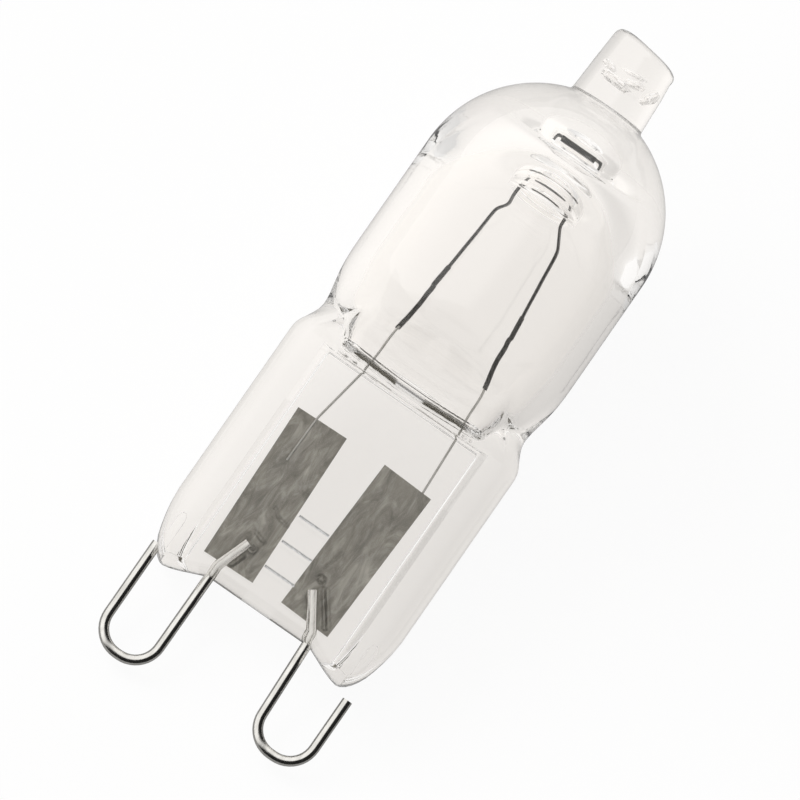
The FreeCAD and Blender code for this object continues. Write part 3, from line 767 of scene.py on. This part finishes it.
# The floor sags between the leads, a little more for each of these distances from the middle.
SAG_REACHES = (3.8, 3.4, 3.0, 2.6, 2.2, 1.8, 1.4, 1.0)
SAG_STEP = 0.022
INNER_NECK = [
    (13.9, 4.4, 1.27, 0.03), (14.2, 4.52, 1.45, 0.1), (14.5, 4.65, 1.75, 0.22), (14.8, 4.77, 2.15, 0.38),
    (15.1, 4.88, 2.62, 0.55), (15.4, 4.98, 3.12, 0.7), (15.7, 5.07, 3.6, 0.83), (16.0, 5.14, 4.05, 0.92),
    (16.3, 5.2, 4.45, 0.98), (16.6, 5.26, 4.78, 1.0), (16.9, 5.3, 5.04, 1.0), (17.2, 5.33, 5.22, 1.0),
    (17.5, 5.35, 5.33, 1.0),
]
flare_angle = math.degrees(math.acos((STUB_OUT + FLARE) / (INNER - FLARE)))
flare_height = CROWN + (INNER - FLARE) * math.sin(math.radians(flare_angle))
stub_wall = STUB_OUT - STUB_IN
bore_curve = []
for angle in BORE_ANGLES:
    rise = math.radians(angle)
    bore_curve.append(round_section(BORE_TOP - BORE_CURVE * (1 - math.sin(rise)), STUB_IN * math.cos(rise)))
bore_beads = []
for height in BORE_BEADS:
    for lift, swell in ((-BEAD_REACH, 0.0), (0.0, BEAD_HEIGHT), (BEAD_REACH, 0.0)):
        bore_beads.append(round_section(height + lift, STUB_IN - swell))
trough = []
for angle in TROUGH_ANGLES:
    lie = math.radians(angle)
    bead = FLOW_BEAD if angle == FLOW_ANGLE else 0.0
    trough.append((
        TROUGH_TOP + TROUGH_RISE * math.sin(lie),
        TROUGH_HALF - TROUGH_END * (1 - math.cos(lie)) - bead,
        TROUGH_DEEP * math.cos(lie) - bead,
        0.0,
    ))
gas_space = stack_sections(
    trough
    + INNER_NECK
    + [round_section(height, INNER) for height in INNER_LEVELS]
    + arc(CROWN, 0, INNER, 0, flare_angle, CROWN_STEPS)
    + arc(flare_height, STUB_OUT + FLARE, FLARE, flare_angle, 180, FLARE_STEPS)[1:]
    + arc(STUB_END + stub_wall / 2, (STUB_OUT + STUB_IN) / 2, stub_wall / 2, 0, -180, STUB_STEPS)
    + bore_beads
    + bore_curve
    + [round_section(BORE_TOP, BORE_POINT)],
    TROUGH_HALF, TROUGH_DEEP, TROUGH_CORNER,
)
edit(gas_space)
for reach in SAG_REACHES:
    select_where(gas_space, lambda co: abs(co.x) < reach and co.z < TROUGH_TOP + TOLERANCE)
    bpy.ops.transform.translate(value=(0, 0, -SAG_STEP))
bpy.ops.object.mode_set(mode="OBJECT")
carve(glass, gas_space)

# Bubbles: what is left of the exhaust tube's bore in the tip, and air caught under the floor of the gas
# space. Each has its middle, its three radii and its turn in degrees, and a lumpy skin.
BUBBLE_CELLS = (32, 18)
BUBBLE_LUMPS = 0.55
BUBBLE_RELIEF = 0.75
BUBBLES = [
    ((-0.3, 0.0, 31.25), (0.62, 0.5, 0.26), 4),
    ((0.35, -0.3, 31.6), (0.42, 0.34, 0.2), -20),
    ((1.0, 0.1, 31.5), (0.2, 0.3, 0.5), 30),
    ((-0.75, 0.2, 31.7), (0.3, 0.3, 0.2), 24),
    ((0.1, 0.3, 32.0), (0.45, 0.3, 0.12), -10),
    ((3.4, -0.2, 12.7), (0.15, 0.15, 0.12), 0),
    ((3.75, 0.15, 12.76), (0.09, 0.09, 0.09), 0),
    ((-3.75, 0.0, 12.7), (0.3, 0.2, 0.09), -4),
    ((-3.15, 0.1, 12.72), (0.25, 0.22, 0.08), 6),
    ((-1.95, 0.2, 12.62), (0.32, 0.2, 0.06), -3),
]
for number, (place, radii, turn) in enumerate(BUBBLES):
    deselect()
    bpy.ops.mesh.primitive_uv_sphere_add(segments=BUBBLE_CELLS[0], ring_count=BUBBLE_CELLS[1], radius=1.0)
    bubble = bpy.context.object
    wrinkles(bubble, f"bubble_{number}", BUBBLE_LUMPS, BUBBLE_RELIEF)
    bubble.scale = radii
    bubble.rotation_euler = (0, math.radians(turn), 0)
    bubble.location = place
    set_down()
    carve(glass, bubble)

# The marks' own faces take the second material, ground quartz.
MARK_MARGIN = 0.02
for face in glass.data.polygons:
    x, y, z = face.center
    level = min(abs(z - height) for height in MARK_HEIGHTS)
    sunk = -WEB_DEEP + MARK_MARGIN < y < 0 and MARK_X[0] - MARK_MARGIN < x < MARK_X[1] + MARK_MARGIN
    if sunk and level < MARK_SIDE:
        face.material_index = 1

QUARTZ_SMOOTH_ANGLE = math.radians(35)
pick(glass)
bpy.ops.object.shade_smooth_by_angle(angle=QUARTZ_SMOOTH_ANGLE)
evened = glass.modifiers.new("evened", "WEIGHTED_NORMAL")
evened.keep_sharp = True
apply_modifiers(glass)
lay_down(glass, "quartz_shell")

QUARTZ_IOR = 1.458
quartz, tree, shader = new_material("quartz")
waves = noise(tree, stretch=(420.0, 160.0, 420.0), detail=2.0)
bump(tree, shader, waves, strength=0.06, distance=0.0002)
shader.inputs["Base Color"].default_value = (0.99, 0.983, 0.975, 1.0)
shader.inputs["Roughness"].default_value = 0.0
shader.inputs["IOR"].default_value = QUARTZ_IOR
shader.inputs["Transmission Weight"].default_value = 1.0
ground, tree, shader = new_material("ground_quartz")
frost = noise(tree, stretch=(5000.0, 9000.0, 9000.0), detail=2.0)
FROST_SHADES = [(0.3, 0.5), (0.7, 0.8)]
tree.links.new(ramp(tree, frost, FROST_SHADES), shader.inputs["Base Color"])
shader.inputs["Roughness"].default_value = 0.6
shader.inputs["IOR"].default_value = QUARTZ_IOR
shader.inputs["Transmission Weight"].default_value = 0.3
glass.data.materials.append(quartz)
glass.data.materials.append(ground)
stands_for(glass, "quartz_envelope")


# Stage. A plain white paper floor, with the light from the lamp's left side and a dim studio on its right.
# Seen through the glass the floor is a painted glow, a little warmer. It has painted light on the lamp's
# left and under the bulb, painted shade on its right side, and a painted dark patch beyond the foot. Seen
# in metal it is a dim glow, painted shade in its reflections.
FLOOR_SIZE = 1.2
deselect()
bpy.ops.mesh.primitive_plane_add(size=FLOOR_SIZE, location=(0, 0, 0))
floor = bpy.context.object
floor.name = "floor"
paper, tree, shader = new_material("paper")
shader.inputs["Base Color"].default_value = (0.86, 0.85, 0.84, 1.0)
shader.inputs["Roughness"].default_value = 0.9


def smooth_step(tree, value, first, second):
    """Goes smoothly from one result to another between two values, each given as (value, result)."""
    node = tree.nodes.new("ShaderNodeMapRange")
    node.interpolation_type = "SMOOTHSTEP"
    node.inputs["From Min"].default_value, node.inputs["To Min"].default_value = first
    node.inputs["From Max"].default_value, node.inputs["To Max"].default_value = second
    tree.links.new(value, node.inputs["Value"])
    return node.outputs["Result"]


def calculate(tree, operation, first, second):
    """One sum of two values, each a socket or a number."""
    node = tree.nodes.new("ShaderNodeMath")
    node.operation = operation
    for socket, value in zip(node.inputs, (first, second)):
        if isinstance(value, (int, float)):
            socket.default_value = value
        else:
            tree.links.new(value, socket)
    return node.outputs["Value"]


# Places on the floor, in metres from the middle of the lamp's box.
spot = tree.nodes.new("ShaderNodeTexCoord").outputs["Object"]
apart = tree.nodes.new("ShaderNodeSeparateXYZ")
tree.links.new(spot, apart.inputs["Vector"])
across = apart.outputs["X"]
along = apart.outputs["Y"]
distance = tree.nodes.new("ShaderNodeVectorMath")
distance.operation = "LENGTH"
tree.links.new(spot, distance.inputs[0])

# Painted light and shade on the floor seen through the glass: brighter on the lamp's left and under the
# bulb, painted shade on its right, dimmer far off to the right, and a painted dark patch beyond the foot.
left_glow = smooth_step(tree, across, (-0.009, 0.98), (-0.001, 0.84))
right_shade = smooth_step(tree, across, (0.004, 1.0), (0.009, 0.83))
below_bulb = smooth_step(tree, along, (-0.003, 1.0), (0.005, 1.1))
beyond_foot = smooth_step(tree, along, (-0.0158, 0.15), (-0.0142, 1.0))
afar = smooth_step(tree, distance.outputs["Value"], (0.025, 0.0), (0.1, 1.0))
far_glow = smooth_step(tree, across, (0.02, 1.0), (0.3, 0.7))
near_glow = calculate(tree, "MULTIPLY", calculate(tree, "MULTIPLY", left_glow, right_shade), below_bulb)
near_glow = calculate(tree, "MULTIPLY", near_glow, calculate(tree, "SUBTRACT", 1.0, afar))
glow = calculate(tree, "ADD", near_glow, calculate(tree, "MULTIPLY", afar, far_glow))
glow = calculate(tree, "MULTIPLY", glow, beyond_foot)
seen_through = tree.nodes.new("ShaderNodeEmission")
seen_through.inputs["Color"].default_value = (1.0, 0.972, 0.938, 1.0)
tree.links.new(glow, seen_through.inputs["Strength"])
seen_plain = tree.nodes.new("ShaderNodeEmission")
# Seen in metal, the floor is a dim emission instead of lit paper: painted shade in its reflection.
mirrored_painted_shade = tree.nodes.new("ShaderNodeEmission")
mirrored_painted_shade.inputs["Strength"].default_value = 0.25


def blend(tree, amount, first, second):
    """Goes from the first shader to the second by an amount."""
    node = tree.nodes.new("ShaderNodeMixShader")
    tree.links.new(amount, node.inputs["Fac"])
    tree.links.new(first, node.inputs[1])
    tree.links.new(second, node.inputs[2])
    return node.outputs["Shader"]


# How much of each glow there is in place of the lit paper, seen straight, through glass and in metal.
PLAIN_SHARE = 0.94
THROUGH_SHARE = 0.9
MIRRORED_SHARE = 0.8
rays = tree.nodes.new("ShaderNodeLightPath")
plain = calculate(tree, "MULTIPLY", rays.outputs["Is Camera Ray"], PLAIN_SHARE)
through = calculate(tree, "MULTIPLY", rays.outputs["Is Transmission Ray"], THROUGH_SHARE)
not_through = calculate(tree, "SUBTRACT", MIRRORED_SHARE, rays.outputs["Is Transmission Ray"])
not_through = calculate(tree, "MAXIMUM", not_through, 0.0)
mirrored = calculate(tree, "MULTIPLY", rays.outputs["Is Glossy Ray"], not_through)
in_metal = blend(tree, mirrored, shader.outputs["BSDF"], mirrored_painted_shade.outputs["Emission"])
below_glass = blend(tree, through, in_metal, seen_through.outputs["Emission"])
surface = blend(tree, plain, below_glass, seen_plain.outputs["Emission"])
tree.links.new(surface, tree.nodes["Material Output"].inputs["Surface"])
floor.data.materials.append(paper)

world = bpy.data.worlds.new("studio")
bpy.context.scene.world = world
world.use_nodes = True
tree = world.node_tree
direction = tree.nodes.new("ShaderNodeTexCoord").outputs["Generated"]


def facing(towards):
    """How far a direction of the studio points towards another."""
    product = tree.nodes.new("ShaderNodeVectorMath")
    product.operation = "DOT_PRODUCT"
    product.inputs[1].default_value = Vector(towards).normalized()
    tree.links.new(direction, product.inputs[0])
    return product.outputs["Value"]


def choose(factor, first, second):
    """The first value where the factor is 0 and the second where it is 1."""
    node = tree.nodes.new("ShaderNodeMix")
    node.data_type = "FLOAT"
    tree.links.new(factor, node.inputs["Factor"])
    for socket, value in ((node.inputs["A"], first), (node.inputs["B"], second)):
        if isinstance(value, (int, float)):
            socket.default_value = value
        else:
            tree.links.new(value, socket)
    return node.outputs["Result"]


# Mirrored in metal and glass, the studio is bright towards its light and dark away from it. Seen through
# the glass it is more even, but for a dark patch low down past the lamp's foot.
BRIGHT_SIDE = (-1.0, 0.4, 0.3)
FOOT_SIDE = (0.0, -1.0, 0.0)
to_light = facing(BRIGHT_SIDE)
reflected = smooth_step(tree, to_light, (0.06, 0.02), (0.3, 1.25))
refracted = smooth_step(tree, to_light, (-0.9, 0.74), (0.5, 1.05))
low_side = smooth_step(tree, facing(FOOT_SIDE), (0.85, 1.0), (0.98, 0.2))
rays = tree.nodes.new("ShaderNodeLightPath")
through_glass = calculate(tree, "MULTIPLY", refracted, low_side)
indirect = choose(rays.outputs["Is Transmission Ray"], reflected, through_glass)
strength = choose(rays.outputs["Is Camera Ray"], indirect, 1.0)
background = tree.nodes["Background"]
background.inputs["Color"].default_value = (1.0, 0.99, 0.98, 1.0)
tree.links.new(strength, background.inputs["Strength"])

deselect()
KEY_PLACE = Vector((-0.4, 0.1, 0.3))
bpy.ops.object.light_add(type="AREA", location=KEY_PLACE)
key = bpy.context.object
key.name = "left_softbox"
key.data.shape = "SQUARE"
key.data.size = 0.25
key.data.energy = 1.6
key.visible_glossy = False
key.visible_transmission = False
key.rotation_euler = (-KEY_PLACE).to_track_quat("-Z", "Y").to_euler()

# The camera looks down on the lamp from its foot's side, so that the tip leans away a little, and is turned
# to the photograph's slant. It is far off, with a long lens. The middle is a place on the upright lamp.
CAMERA_TILT = REST_TILT + math.radians(5.0)
TO_CAMERA = Vector((0.0, -math.sin(CAMERA_TILT), math.cos(CAMERA_TILT)))
ROLL = math.radians(34.8)
PHOTO_MIDDLE = Vector((-0.215, 0.0, 12.46))
PHOTO_WIDTH = 0.039
CAMERA_DISTANCE = 0.8
SENSOR = 36.0
aim = LAID_DOWN @ PHOTO_MIDDLE
deselect()
bpy.ops.object.camera_add(
    location=aim + TO_CAMERA * CAMERA_DISTANCE,
    rotation=(Matrix.Rotation(CAMERA_TILT, 3, "X") @ Matrix.Rotation(ROLL, 3, "Z")).to_euler(),
)
camera = bpy.context.object
camera.data.sensor_width = SENSOR
camera.data.lens = SENSOR * CAMERA_DISTANCE / PHOTO_WIDTH
camera.data.clip_start = 0.01
bpy.context.scene.camera = camera
bpy.context.scene.view_settings.view_transform = "Standard"
# Light goes many times round inside thick quartz before it leaves.
bpy.context.scene.cycles.max_bounces = 32
bpy.context.scene.cycles.glossy_bounces = 24
bpy.context.scene.cycles.transmission_bounces = 32
